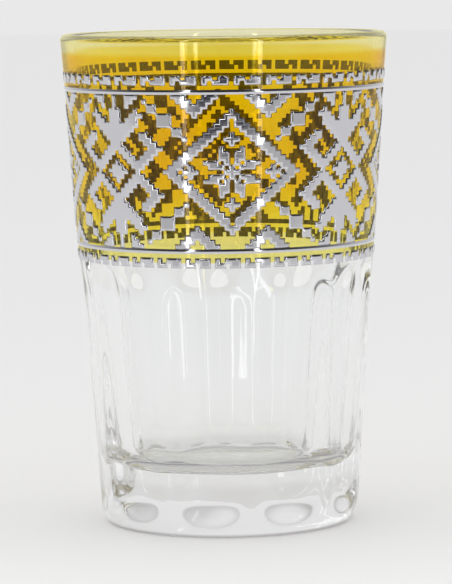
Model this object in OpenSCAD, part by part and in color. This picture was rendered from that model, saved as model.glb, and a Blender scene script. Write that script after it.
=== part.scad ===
// Moroccan tea glass: a pressed tumbler with arched flutes, a thick base, a transparent amber coat on its
// upper half and a silver cross-stitch pattern printed round it.
// Millimetres. The origin is the middle of the foot, on the table; +Z is up and the front faces -Y.
// Azimuths are degrees round +Z from the front, positive towards +X.

/* [Glass] */
// Height of the bare glass
glass_h = 89.5; // [85:0.5:95]
// Widest diameter, at the rounded lip
lip_d = 59.4; // [58.4:0.1:61.4]
// Thickness of the rounded lip
lip_t = 2; // [1.6:0.1:2.4]
// How far the lip flares out past the straight cone, on each side
flare_out = 0.2; // [0.1:0.1:1.5]
// Diameter of the cone where the heel begins
heel_d = 48.4; // [46:0.1:50]
// Height of the rounded heel
heel_h = 8; // [6:0.5:9]
// Outer diameter of the ring that the glass stands on
foot_d = 43.6; // [41:0.2:44.4]
// Width of that ring
foot_ring_w = 2.4; // [1.6:0.2:4]
// Depth of the hollow under the base
hollow_h = 1; // [0.6:0.1:2]
// Height over which the wall flares out to the lip
flare_h = 13; // [10:0.5:16]

/* [Inside] */
// Thickness of the base at the floor
base_t = 10.9; // [8:0.1:12]
// Diameter of the flat part of the floor
floor_d = 28; // [25:0.5:30]
// Radius of the fillet between the floor and the wall
floor_fillet_r = 5; // [3.5:0.25:6]

/* [Flutes] */
// Number of flutes round the glass
flutes = 10; // [10:1:16]
// Azimuth of the middle of the front flute
flute_turn = -8.3; // [-18:0.1:18]
// Radius of the hollow across a flute
flute_r = 60; // [40:1:90]
// Width of the land left between two flutes
flute_land = 3; // [1.5:0.1:5]
// Clearance between the print and the top of a flute's arch
flute_gap = 0.1; // [0:0.1:3]
// Height of the arch itself
flute_arch_h = 8; // [6:0.5:10]
// Height of the lowest point of a flute
flute_toe_z = 1.5; // [1.25:0.25:3]
// Height of the round at the lower end
flute_toe_h = 6.5; // [5:0.5:8]

/* [Amber coat and silver print] */
// Thickness of the amber coat
coat_t = 0.08; // [0.05:0.01:0.15]
// Where the coat ends on the lip, in degrees round the lip from its outermost point
coat_end_deg = 120; // [90:5:150]
// Thickness of the silver print
print_t = 0.12; // [0.06:0.01:0.2]
// How far a stitch prints past its cell on each side
bleed = 0.09; // [0.05:0.01:0.14]
// Distance from the top of the lip down to the middle row of stitches
band_drop = 23.75; // [22.5:0.25:24]
// Height of a stitch
stitch_h = 0.825; // [0.78:0.005:0.83]
// Azimuth of the middle of the front diamond
band_turn = 2.5; // [0:0.1:20]

/* [Hidden] */

// Fineness of the round cuts, and an overrun for cuts
$fn = 96;
cut = 1;

// Colours
clear_glass = [0.86, 0.88, 0.88, 0.45];
amber = [0.87, 0.66, 0.08, 0.8];
silver = [0.78, 0.78, 0.81];

// Outside of the glass: a heel, a straight cone, a flare and a rounded lip, each tangent to the next
lip_r = lip_t / 2;
lip_z = glass_h - lip_r;
lip_x = lip_d / 2 - lip_r;
lip_join_deg = 8;
join_z = lip_z - lip_r * sin(lip_join_deg);
join_x = lip_x + lip_r * cos(lip_join_deg);
cone_slope = (join_x - flare_out - heel_d / 2) / (join_z - heel_h);
flare_z = join_z - flare_h;
flare_steps = 6;
wall_line = [
    [heel_h, heel_d / 2],
    for (i = [0 : flare_steps])
        let (z = flare_z + flare_h * i / flare_steps)
        [z, cone_x(z) + flare_out * pow(i / flare_steps, 2)]
];

function cone_x(z) = heel_d / 2 + (z - heel_h) * cone_slope;

// Radius of the outer wall at a height
function wall_x(z) = lookup(z, wall_line);

// Heel: the part of an ellipse from the foot up to where it runs on into the cone
heel_steps = 10;
heel_in = (heel_d - foot_d) / 2;
heel_lean = cone_slope * heel_h / heel_in;
heel_end = acos(heel_lean / (1 - heel_lean));
function heel_point(a) = [
    foot_d / 2 + heel_in * sin(a) / sin(heel_end),
    heel_h * (1 - cos(a)) / (1 - cos(heel_end))
];

// Inside: a wall that touches the lip's round and the floor's fillet
fillet_x = floor_d / 2;
fillet_z = base_t + floor_fillet_r;
inside_lean = atan2(lip_x - fillet_x, lip_z - fillet_z)
    - asin((lip_r + floor_fillet_r) / norm([lip_x - fillet_x, lip_z - fillet_z]));
arc_steps = 10;

// Points on a round, from one angle to another
function arc(x, z, r, from, to, steps) = [
    for (i = [0 : steps])
        let (a = from + (to - from) * i / steps)
        [x + r * cos(a), z + r * sin(a)]
];

// Outline of half the glass, from the hollow under the base round to the floor
function glass_outline() = concat(
    [[0, hollow_h]],
    arc(foot_d / 2 - foot_ring_w - hollow_h, 0, hollow_h, 90, 0, arc_steps),
    [for (i = [0 : heel_steps - 1]) heel_point(heel_end * i / heel_steps)],
    [for (p = wall_line) [p[1], p[0]]],
    arc(lip_x, lip_z, lip_r, -lip_join_deg, 180 - inside_lean, 2 * arc_steps),
    arc(fillet_x, fillet_z, floor_fillet_r, -inside_lean, -90, arc_steps),
    [[0, base_t]]
);

// Stitches: columns count from the middle of a diamond, rows from the middle of the band
repeats = 4;
repeat_columns = 48;
column_deg = 360 / (repeats * repeat_columns);
field_rows = 16;
field_half_h = (field_rows + 0.5) * stitch_h;
rule_rows = 1;
key_off_rows = 19;
key_rows = 2;
key_columns = 6;
band_z = glass_h - band_drop;
bleed_deg = asin(bleed / wall_x(band_z));

function row_z(r) = band_z + r * stitch_h;
print_low_z = row_z(-key_off_rows - key_rows + 0.5) - bleed;

// Depth of a flute where the bare cone has a given radius: as deep as leaves the land beside it
function flute_depth(r) =
    let (half = 180 / flutes - asin(flute_land / 2 / r))
    r + flute_r - r * cos(half) - sqrt(pow(flute_r, 2) - pow(r * sin(half), 2));

// Tool that presses one flute: a barrel whose ends round off until they leave the glass. Its axis lies
// outside the glass, along the line of the flute's deepest points.
flute_high_z = print_low_z - flute_gap - flute_arch_h;
flute_low_z = flute_toe_z + flute_toe_h;
high_depth = flute_depth(cone_x(flute_high_z));
low_depth = flute_depth(cone_x(flute_low_z));
deep_slope = (cone_x(flute_high_z) - high_depth - cone_x(flute_low_z) + low_depth)
    / (flute_high_z - flute_low_z);
deep_lean = atan(deep_slope);
arch_end_r = pow(flute_arch_h, 2) / (2 * high_depth);
toe_end_r = pow(flute_toe_h, 2) / (2 * low_depth);
module flute_tool() {
    low = flute_low_z / cos(deep_lean);
    high = flute_high_z / cos(deep_lean);
    translate([cone_x(flute_low_z) - low_depth - deep_slope * flute_low_z, 0, 0])
        rotate([0, deep_lean, 0])
            translate([flute_r, 0, 0])
                rotate_extrude() {
                    translate([0, low]) square([flute_r, high - low]);
                    barrel_end(high, arch_end_r, 1);
                    barrel_end(low, toe_end_r, -1);
                }
}

// Half of a rounded end of the barrel, from the height where it starts, upwards or downwards
module barrel_end(at, r, up) {
    intersection() {
        translate([flute_r - r, at]) circle(r);
        translate([0, up > 0 ? at : at - r]) square([flute_r, r]);
    }
}

// Where a solid turned round the axis has its seam: on the land beside the front flute
seam_deg = azimuth(flute_turn + 180 / flutes);

// Glass with the first so many flutes pressed, one after another
module pressed(count) {
    if (count == 0)
        rotate([0, 0, seam_deg]) rotate_extrude() polygon(glass_outline());
    else
        difference() {
            pressed(count - 1);
            rotate([0, 0, azimuth(flute_turn + count * 360 / flutes)]) flute_tool();
        }
}

module glass_body() {
    color(clear_glass) pressed(flutes);
}

// Turns an azimuth from the front into a rotation of +X
function azimuth(deg) = deg - 90;

// Heights along the wall between two of them, and the wall's outline there, some way out from the glass
function wall_heights(low, high) = [low, for (p = wall_line) if (p[0] > low && p[0] < high) p[0], high];
function wall_points(low, high, out) = [for (z = wall_heights(low, high)) [wall_x(z) + out, z]];
function reversed(list) = [for (i = [len(list) - 1 : -1 : 0]) list[i]];

// Amber coat: from the middle of the lower key border up the wall and over the lip
coat_low_z = row_z(-key_off_rows - key_rows / 2 + 0.5);
module amber_coat() {
    color(amber)
        rotate([0, 0, seam_deg])
            rotate_extrude()
                polygon(concat(
                    wall_points(coat_low_z, join_z, coat_t),
                    arc(lip_x, lip_z, lip_r + coat_t, -lip_join_deg, coat_end_deg, arc_steps),
                    arc(lip_x, lip_z, lip_r, coat_end_deg, -lip_join_deg, arc_steps),
                    reversed(wall_points(coat_low_z, join_z, 0))
                ));
}

// Outline of the silver print between two heights. It lies on the amber coat, and below that on the glass.
function print_outline(low, high) = concat(
    wall_points(low, high, coat_t + print_t),
    reversed(wall_points(max(low, coat_low_z), high, coat_t)),
    low < coat_low_z ? reversed(wall_points(low, coat_low_z, 0)) : []
);

// Outlines round a set of stitches, given as a function on(column, row). Each step of an outline is
// [column, row, across, up]: a corner of a stitch, and the side that runs on from it with the print on
// its left. Where two stitches touch at their corners only, the outline keeps them together.
function has_side(on, at) =
    let (across = at[2], up = at[3])
    on(at[0] + (across - up) / 2, at[1] + (up + across) / 2)
    && !on(at[0] + (across + up) / 2, at[1] + (up - across) / 2);

function next_side(on, at) =
    let (
        corner = [at[0] + at[2], at[1] + at[3]],
        right = [corner[0], corner[1], at[3], -at[2]],
        ahead = [corner[0], corner[1], at[2], at[3]]
    )
    has_side(on, right) ? right : has_side(on, ahead) ? ahead : [corner[0], corner[1], -at[3], at[2]];

function sides_from(on, start) =
    [for (at = start, going = true; going; at = next_side(on, at), going = at != start) at];

// Each outline once: it is traced from a lower left corner, and kept if that is its lowest and leftmost one
function rank(at) = at[1] * repeat_columns + at[0];
function is_start(on, at) = has_side(on, at) && !has_side(on, at - [1, 0, 0, 0]);
function outlines(on, columns, rows) = [
    for (r = [rows[0] : rows[1]], c = [columns[0] : columns[1]])
        let (start = [c - 0.5, r - 0.5, 1, 0])
        if (is_start(on, start))
            let (sides = sides_from(on, start))
            if (min([for (at = sides) if (at[2] == 1) rank(at)]) == rank(start)) sides
];

// Corner of an outline on the wall, flat, as seen from outside, moved out by the bleed. The field's edge
// cuts it off at the rules.
function corner_point(before, at) =
    let (
        deg = at[0] * column_deg + (before[3] + at[3]) * bleed_deg,
        free_z = row_z(at[1]) - (before[2] + at[2]) * bleed,
        in_field = abs(at[1]) < field_rows + 1,
        z = in_field ? max(band_z - field_half_h, min(band_z + field_half_h, free_z)) : free_z
    )
    [(wall_x(z) + coat_t) * sin(deg), z];

function corner_points(sides) = [
    for (i = [0 : len(sides) - 1])
        let (before = sides[i == 0 ? len(sides) - 1 : i - 1], at = sides[i])
        if (before[2] != at[2]) corner_point(before, at)
];

// A motif printed on the wall with its middle at a column
module stitched(column, motif) {
    loops = [for (sides = motif) corner_points(sides)];
    starts = [for (i = 0, n = 0; i < len(loops); n = n + len(loops[i]), i = i + 1) n];
    heights = [for (loop = loops) each [for (p = loop) p[1]]];
    rotate([0, 0, azimuth(band_turn + column * column_deg)])
        intersection() {
            rotate_extrude()
                polygon(print_outline(min(heights) - stitch_h, max(heights) + stitch_h));
            rotate([90, 0, 90])
                linear_extrude(lip_d)
                    polygon(
                        [for (loop = loops) each loop],
                        [for (i = [0 : len(loops) - 1]) [for (k = [0 : len(loops[i]) - 1]) starts[i] + k]]
                    );
        }
}

// The same for every repeat of the pattern round the glass
module in_each_repeat(column, motif) {
    for (i = [0 : repeats - 1])
        stitched(column + i * repeat_columns, motif);
}

// Plain ring between two heights
module rule(low, high) {
    color(silver) rotate_extrude() polygon(print_outline(low, high));
}

module upper_rule() {
    rule(band_z + field_half_h, band_z + field_half_h + rule_rows * stitch_h);
}

module lower_rule() {
    rule(band_z - field_half_h - rule_rows * stitch_h, band_z - field_half_h);
}

// Key mark: two hooked pieces, five columns wide and two rows high. Row 1 is the one nearer to the rule.
key_wide_columns = 5;
key_gap_columns = [2, 3];
function key_on(c, r) =
    abs(c) <= (key_wide_columns - 1) / 2 && r >= 1 && r <= key_rows
    && c + (key_wide_columns + 1) / 2 != key_gap_columns[r - 1];

module keys(shift, motif) {
    color(silver)
        for (k = [0 : repeats * repeat_columns / key_columns - 1])
            stitched((k + 0.5) * key_columns + shift, motif);
}

module upper_key_border() {
    keys(0, outlines(
        function(c, r) key_on(c, r - key_off_rows + 1),
        [-key_wide_columns, key_wide_columns], [key_off_rows, key_off_rows + key_rows]
    ));
}

// The lower keys hang upside down and start two columns further on. Half of each is on bare glass.
lower_key_shift_columns = 2;
module lower_key_border() {
    keys(lower_key_shift_columns, outlines(
        function(c, r) key_on(c, -r - key_off_rows + 1),
        [-key_wide_columns, key_wide_columns], [-key_off_rows - key_rows, -key_off_rows + 1]
    ));
}

// Diamond frame: three stitches thick, with a notch inside its upper and lower corner and a rosette in
// its left and right one
frame_reach_rows = 13;
frame_hole_rows = 10;
rosette_off_columns = 9;
function frame_on(c, r) =
    let (d = abs(c) + abs(r), side = abs(c) - rosette_off_columns)
    (d <= frame_reach_rows && d > frame_hole_rows && !(c == 0 && abs(r) == frame_hole_rows + 1)
        && !(side == 1 && r == 0))
    || (abs(side) + abs(r) <= 2 && side <= 0 && !(side == 0 && abs(r) == 1));

module diamond_frames() {
    color(silver)
        in_each_repeat(0, outlines(
            function(c, r) frame_on(c, r),
            [-frame_reach_rows, frame_reach_rows], [-frame_reach_rows, frame_reach_rows]
        ));
}

// Rosette: a cross, and eight petals of two bars side by side, one a stitch further out than the other
rosette_reach_rows = 5;
function petal_on(across, along) =
    (across == 1 && along >= 2 && along < rosette_reach_rows)
    || (across == 2 && along > 2 && along <= rosette_reach_rows);
function rosette_on(c, r) =
    let (x = abs(c), y = abs(r))
    x + y <= 1 || petal_on(x, y) || petal_on(y, x);

module centre_rosettes() {
    color(silver)
        in_each_repeat(0, outlines(
            function(c, r) rosette_on(c, r),
            [-rosette_reach_rows, rosette_reach_rows], [-rosette_reach_rows, rosette_reach_rows]
        ));
}

// Small crosses above and below the rosette
cross_off_rows = 7;
module small_crosses() {
    color(silver)
        in_each_repeat(0, outlines(
            function(c, r) abs(c) + abs(abs(r) - cross_off_rows) <= 1,
            [-1, 1], [-cross_off_rows - 1, cross_off_rows + 1]
        ));
}

// Tree motif between two diamonds, drawn for one quarter and mirrored. Its bands are three stitches thick
// and rise outwards, where column less row is steady, or inwards, where column plus row is.
tree_reach_columns = 11;
tree_core_rows = 2;
ring_rows = 5;
ring_rising_rows = 4;
ring_falling_rows = 6;
hook_falling_rows = 14;
hook_rows = 8;
crown_rows = 10;
prong_rising_rows = -7;
prong_falling_rows = 18;
stem_rows = 13;
function tree_on(column, row) =
    let (
        c = abs(column), r = abs(row), rising = c - r, falling = c + r,
        in_core = falling <= tree_core_rows,
        in_ring = abs(falling - ring_falling_rows) <= 1 && rising <= ring_rows,
        in_arm = abs(rising - ring_rising_rows) <= 1 && falling >= ring_rows && r <= ring_rows,
        in_hook = abs(falling - hook_falling_rows) <= 1
            && r >= ring_rows && r <= hook_rows && c > ring_rows,
        in_crown = rising <= -ring_rows && r <= crown_rows,
        in_prong = abs(rising - prong_rising_rows) <= 1 && r >= crown_rows && falling <= prong_falling_rows,
        in_stem = r >= crown_rows && r <= field_rows && c <= (r <= stem_rows ? 1 : 0)
    )
    in_core || in_ring || in_arm || in_hook || in_crown || in_prong || in_stem;

module tree_motifs() {
    color(silver)
        in_each_repeat(repeat_columns / 2, outlines(
            function(c, r) tree_on(c, r),
            [-tree_reach_columns, tree_reach_columns], [-field_rows, field_rows]
        ));
}

// Chains of five squares, corner to corner, from beside the diamond out to the rules. A square is given by
// its lowest column and row and its width.
chain_rows = [[9, 7, 1], [10, 8, 2], [12, 10, 3], [15, 13, 2], [17, 15, 1]];
function chain_on(c, r) =
    max([for (q = chain_rows) c >= q[0] && c < q[0] + q[2] && r >= q[1] && r < q[1] + q[2] ? 1 : 0]) > 0;

module square_chains() {
    color(silver)
        in_each_repeat(0, outlines(
            function(c, r) chain_on(abs(c), abs(r)),
            [-repeat_columns / 2, repeat_columns / 2], [-field_rows, field_rows]
        ));
}

// Hangings on a rule: a stepped triangle with a hole on each side of a diamond, and a stepped corner on
// each side of a tree's stem
triangle_off_columns = 7;
triangle_rows = 12;
triangle_hole_rows = 15;
corner_off_columns = 3;
corner_rows = 14;
function triangle_on(c, r) =
    let (side = abs(abs(c) - triangle_off_columns))
    r <= field_rows && side <= r - triangle_rows && side > r - triangle_hole_rows;
function corner_on(c, r) =
    let (side = abs(c) - corner_off_columns)
    r <= field_rows && side >= 0 && side <= r - corner_rows;

module hangings(level) {
    reach = [-repeat_columns / 2, repeat_columns / 2];
    rows = level > 0 ? [triangle_rows, field_rows] : [-field_rows, -triangle_rows];
    color(silver) {
        in_each_repeat(0, outlines(function(c, r) triangle_on(c, level * r), reach, rows));
        in_each_repeat(
            repeat_columns / 2,
            outlines(function(c, r) corner_on(c, level * r), reach, rows)
        );
    }
}

module upper_hangings() {
    hangings(1);
}

module lower_hangings() {
    hangings(-1);
}

glass_body();
amber_coat();
upper_key_border();
upper_rule();
upper_hangings();
diamond_frames();
centre_rosettes();
small_crosses();
tree_motifs();
square_chains();
lower_hangings();
lower_rule();
lower_key_border();
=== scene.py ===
"""Moroccan tea glass: a pressed tumbler with arched flutes, an amber coat and a silver cross-stitch print.

The sizes are millimetres, as in the part's source, and the meshes are metres. Azimuths run round +Z from
the front, which faces -Y, and are positive towards +X. Columns and rows count the stitches of the print.
"""

from __future__ import annotations

import logging
import math
from collections import Counter
from collections.abc import Callable, Iterable, Sequence
from dataclasses import dataclass, field
from enum import Enum, IntEnum
from typing import Any

import bpy
import numpy as np
from mathutils import Matrix, Vector

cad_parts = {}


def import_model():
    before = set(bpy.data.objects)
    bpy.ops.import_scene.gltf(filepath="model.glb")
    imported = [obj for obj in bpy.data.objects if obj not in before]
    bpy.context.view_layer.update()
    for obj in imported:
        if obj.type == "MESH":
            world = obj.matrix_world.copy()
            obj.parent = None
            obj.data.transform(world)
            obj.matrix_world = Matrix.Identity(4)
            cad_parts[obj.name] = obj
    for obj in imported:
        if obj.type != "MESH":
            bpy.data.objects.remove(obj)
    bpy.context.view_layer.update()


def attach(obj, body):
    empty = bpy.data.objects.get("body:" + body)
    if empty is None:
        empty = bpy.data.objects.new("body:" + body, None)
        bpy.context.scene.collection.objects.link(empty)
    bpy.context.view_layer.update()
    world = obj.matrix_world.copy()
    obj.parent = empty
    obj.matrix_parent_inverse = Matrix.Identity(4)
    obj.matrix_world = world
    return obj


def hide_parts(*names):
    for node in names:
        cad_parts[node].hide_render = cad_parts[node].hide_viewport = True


LOG = logging.getLogger("tea_glass")
MM = 0.001
BODY = "root"
Colour = tuple[float, float, float]
Spot = tuple[float, float, float]
Span = tuple[float, float]
Cell = tuple[int, int]
Value = Any


class Slot(Enum):
    """Material slots of the record."""

    CLEAR_GLASS = "clear_glass"
    AMBER_GLASS = "amber_glass"
    SILVER_PRINT = "silver_print"


class Level(Enum):
    """Which way a motif hangs: from the upper rule or, mirrored, from the lower one."""

    UPPER = 1
    LOWER = -1


class Tier(IntEnum):
    """Levels of the printed relief, from the glass outwards."""

    SEAT = 0
    EDGE = 1
    FACE = 2


class Ray(Enum):
    """Kinds of ray that the Light Path node tells apart."""

    CAMERA = "Is Camera Ray"
    SHADOW = "Is Shadow Ray"
    GLOSSY = "Is Glossy Ray"
    TRANSMISSION = "Is Transmission Ray"


class Wire:
    """An output socket. Its operators add Math nodes to the tree that it belongs to."""

    def __init__(self, graph: Graph, socket: bpy.types.NodeSocket) -> None:
        """Keeps the socket and the tree's builder."""
        self.graph = graph
        self.socket = socket

    def _math(self, operation: str, first: Value, second: Value = 0.0) -> Wire:
        """Adds a Math node with one operation on two values."""
        return self.graph.node("ShaderNodeMath", {"operation": operation}, {0: first, 1: second})

    def __add__(self, other: Value) -> Wire:
        """Sum."""
        return self._math("ADD", self, other)

    def __radd__(self, other: Value) -> Wire:
        """Sum with a number on the left."""
        return self._math("ADD", other, self)

    def __sub__(self, other: Value) -> Wire:
        """Difference."""
        return self._math("SUBTRACT", self, other)

    def __rsub__(self, other: Value) -> Wire:
        """Difference from a number on the left."""
        return self._math("SUBTRACT", other, self)

    def __mul__(self, other: Value) -> Wire:
        """Product."""
        return self._math("MULTIPLY", self, other)

    def __rmul__(self, other: Value) -> Wire:
        """Product with a number on the left."""
        return self._math("MULTIPLY", other, self)

    def __truediv__(self, other: Value) -> Wire:
        """Quotient."""
        return self._math("DIVIDE", self, other)

    def __pow__(self, other: Value) -> Wire:
        """Power."""
        return self._math("POWER", self, other)

    def sin(self) -> Wire:
        """Sine of an angle in radians."""
        return self._math("SINE", self)

    def cos(self) -> Wire:
        """Cosine of an angle in radians."""
        return self._math("COSINE", self)

    def size(self) -> Wire:
        """Absolute value."""
        return self._math("ABSOLUTE", self)

    def step(self, low: float, high: float, before: float = 0.0, after: float = 1.0) -> Wire:
        """Smooth step from one value to another.

        Args:
            low: input at which the step begins.
            high: input at which it ends.
            before: value below the step.
            after: value above it.

        Returns:
            The stepped value.
        """
        return self.graph.node(
            "ShaderNodeMapRange",
            {"interpolation_type": "SMOOTHSTEP"},
            {0: self, 1: low, 2: high, 3: before, 4: after},
        )

    def step_mm(self, span: Span, before: float = 0.0, after: float = 1.0) -> Wire:
        """Smooth step of a value in metres, over a span in millimetres."""
        return self.step(span[0] * MM, span[1] * MM, before, after)


class Graph:
    """Builder for one node tree, of a material, a world or a Geometry Nodes modifier."""

    def __init__(self, tree: bpy.types.NodeTree) -> None:
        """Takes the tree and empties it."""
        self.tree = tree
        self.tree.nodes.clear()

    def node(
        self,
        kind: str,
        settings: dict[str, Value] | None = None,
        values: dict[int | str, Value] | None = None,
        out: int | str = 0,
    ) -> Wire:
        """Adds a node.

        Args:
            kind: the node's type.
            settings: its properties, which are set before its sockets.
            values: numbers, colours, data blocks or wires for its input sockets, by name or place.
            out: the output socket to return.

        Returns:
            The wire from that output.
        """
        made = self.tree.nodes.new(kind)
        for name, value in (settings or {}).items():
            setattr(made, name, value)
        for name, value in (values or {}).items():
            socket = made.inputs[name]
            if isinstance(value, Wire):
                self.tree.links.new(value.socket, socket)
            else:
                socket.default_value = value
        return Wire(self, made.outputs[out] if made.outputs else None)

    def xyz(self, vector: Wire) -> tuple[Wire, Wire, Wire]:
        """Splits a vector into its three numbers."""
        split = self.node("ShaderNodeSeparateXYZ", None, {0: vector}).socket.node
        return tuple(Wire(self, output) for output in split.outputs)

    def vector(self, x: Value, y: Value, z: Value) -> Wire:
        """Joins three numbers into a vector."""
        return self.node("ShaderNodeCombineXYZ", None, {0: x, 1: y, 2: z})

    def place(self) -> Wire:
        """Object coordinates, in metres."""
        return self.node("ShaderNodeTexCoord", out="Object")

    def ray(self, kind: Ray) -> Wire:
        """1 for one kind of ray and 0 for the others."""
        return self.node("ShaderNodeLightPath", out=kind.value)

    def noise(self, place: Wire, scale: float, detail: float = 2.0, stretch: Spot = (1, 1, 1)) -> Wire:
        """Noise between 0 and 1.

        Args:
            place: coordinates to read.
            scale: repeats per metre.
            detail: octaves above the first.
            stretch: factors on the coordinates; a small one draws the noise out along that axis.

        Returns:
            The noise's value.
        """
        spot = self.node("ShaderNodeVectorMath", {"operation": "MULTIPLY"}, {0: place, 1: stretch})
        return self.node("ShaderNodeTexNoise", None, {"Vector": spot, "Scale": scale, "Detail": detail})

    def blend(self, share: Value, first: Value, second: Value) -> Wire:
        """Mixes two colours, from the first where the share is 0 to the second where it is 1."""
        sides = {0: share, 6: self._colour(first), 7: self._colour(second)}
        return self.node("ShaderNodeMix", {"data_type": "RGBA"}, sides, out=2)

    @staticmethod
    def _colour(value: Value) -> Value:
        """Gives a plain colour its alpha."""
        return value if isinstance(value, Wire) else (*value, 1.0)

    def bump(self, height: Wire, distance_mm: float, strength: float = 1.0) -> Wire:
        """Normal bent by a height of so many millimetres at full scale."""
        values = {"Height": height, "Distance": distance_mm * MM, "Strength": strength}
        return self.node("ShaderNodeBump", None, values)


def new_material(name: str) -> tuple[bpy.types.Material, Graph]:
    """Makes an empty material and the builder for its nodes."""
    made = bpy.data.materials.new(name)
    made.use_nodes = True
    return made, Graph(made.node_tree)


def principled(graph: Graph, values: dict[str, Value]) -> Wire:
    """Adds a Principled BSDF with these inputs."""
    return graph.node("ShaderNodeBsdfPrincipled", None, values)


def end_material(graph: Graph, shader: Wire) -> None:
    """Ends a material with its shader."""
    graph.node("ShaderNodeOutputMaterial", None, {0: shader})


def see_through(graph: Graph, shader: Wire, tint: Colour) -> None:
    """Ends a material: light on its way to a lamp passes with a tint, and all other rays meet the shader.

    Args:
        graph: the material's nodes.
        shader: what the other rays meet.
        tint: colour that the passing light takes.
    """
    clear = graph.node("ShaderNodeBsdfTransparent", None, {0: (*tint, 1.0)})
    mixed = graph.node("ShaderNodeMixShader", None, {0: graph.ray(Ray.SHADOW), 1: shader, 2: clear})
    end_material(graph, mixed)


@dataclass(frozen=True)
class ClearGlass:
    """Finish of the pressed glass: bright, faintly wavy and scuffed at the foot, with painted shade that
    greys the heel and a painted contact shadow along the foot.
    """

    tint: Colour = (0.975, 0.98, 0.978)
    # Painted shade that greys the heel, and a painted contact shadow at the foot, with the heights over which
    # each fades.
    base_painted_shade: Colour = (0.82, 0.822, 0.822)
    base_z: Span = (8.5, 10.4)
    foot_painted_shadow: Colour = (0.50, 0.47, 0.50)
    foot_z: Span = (0.35, 0.9)
    wall_r: Span = (20.3, 21.3)
    passing: Colour = (0.99, 0.99, 0.99)
    ior: float = 1.5
    wave_mm: float = 0.05
    wave_scale: float = 75.0
    wave_stretch: Spot = (1.0, 1.0, 0.45)
    ripple: float = 0.8
    ripple_scale: float = 260.0
    ripple_z: Span = (1.0, 9.0)
    grain_scale: float = 2600.0
    grain_span: Span = (0.45, 0.75)
    scuff_rough: Span = (0.02, 0.4)
    scuff_z: Span = (0.1, 0.35)

    def material(self) -> bpy.types.Material:
        """Makes the material."""
        made, graph = new_material("clear pressed glass")
        place = graph.place()
        x, y, height = graph.xyz(place)
        wave = graph.noise(place, self.wave_scale, 1.0, self.wave_stretch)
        ripple = graph.noise(place, self.ripple_scale) * height.step_mm(self.ripple_z, self.ripple, 0.0)
        grain = graph.noise(place, self.grain_scale, 3.0).step(*self.grain_span, *self.scuff_rough)
        rough = height.step_mm(self.scuff_z, 1.0, 0.0) * grain
        # Painted shade: the outside of the heel is greyed up to the top of the base, and a painted contact
        # shadow darkens the bottom of the foot; within the wall's radius the glass keeps its plain tint.
        colour = graph.blend(height.step_mm(self.foot_z), self.foot_painted_shadow, self.base_painted_shade)
        colour = graph.blend(height.step_mm(self.base_z), colour, self.tint)
        radius = (x * x + y * y)**0.5
        colour = graph.blend(radius.step_mm(self.wall_r), self.tint, colour)
        glass = principled(graph, {
            "Base Color": colour,
            "Roughness": rough,
            "IOR": self.ior,
            "Transmission Weight": 1.0,
            "Normal": graph.bump(wave + ripple, self.wave_mm),
        })
        see_through(graph, glass, self.passing)
        return made


@dataclass(frozen=True)
class AmberStain:
    """Finish of the coat: amber, golden in drifts, straw in its lower part and lemon towards the lip."""

    amber: Colour = (0.98, 0.79, 0.06)
    gold: Colour = (0.97, 0.70, 0.035)
    lemon: Colour = (0.99, 0.945, 0.62)
    lemon_z: Span = (85.5, 86.7)
    straw: Colour = (0.98, 0.89, 0.26)
    straw_z: Span = (51.0, 62.0)
    drift_scale: float = 48.0
    drift_stretch: Spot = (1.0, 1.0, 0.6)
    drift_span: Span = (0.42, 0.66)
    gloss: float = 0.5
    gloss_rough: float = 0.02
    gloss_ior: float = 1.5

    def material(self, outside: bool) -> bpy.types.Material:
        """Makes the material of one side of the coat.

        Args:
            outside: whether this is the glossy outside or the side on the glass.

        Returns:
            The material.
        """
        made, graph = new_material("amber coat outside" if outside else "amber coat on the glass")
        place = graph.place()
        _, _, height = graph.xyz(place)
        drift = graph.noise(place, self.drift_scale, 3.0, self.drift_stretch).step(*self.drift_span)
        colour = graph.blend(drift, self.amber, self.gold)
        colour = graph.blend(height.step_mm(self.straw_z), self.straw, colour)
        colour = graph.blend(height.step_mm(self.lemon_z), colour, self.lemon)
        film = principled(graph, {
            "Base Color": colour,
            "Roughness": 0.0,
            "IOR": 1.0,
            "Transmission Weight": 1.0,
            "Coat Weight": self.gloss if outside else 0.0,
            "Coat Roughness": self.gloss_rough,
            "Coat IOR": self.gloss_ior,
        })
        see_through(graph, film, tuple(math.sqrt(part) for part in self.amber))
        return made


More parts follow.
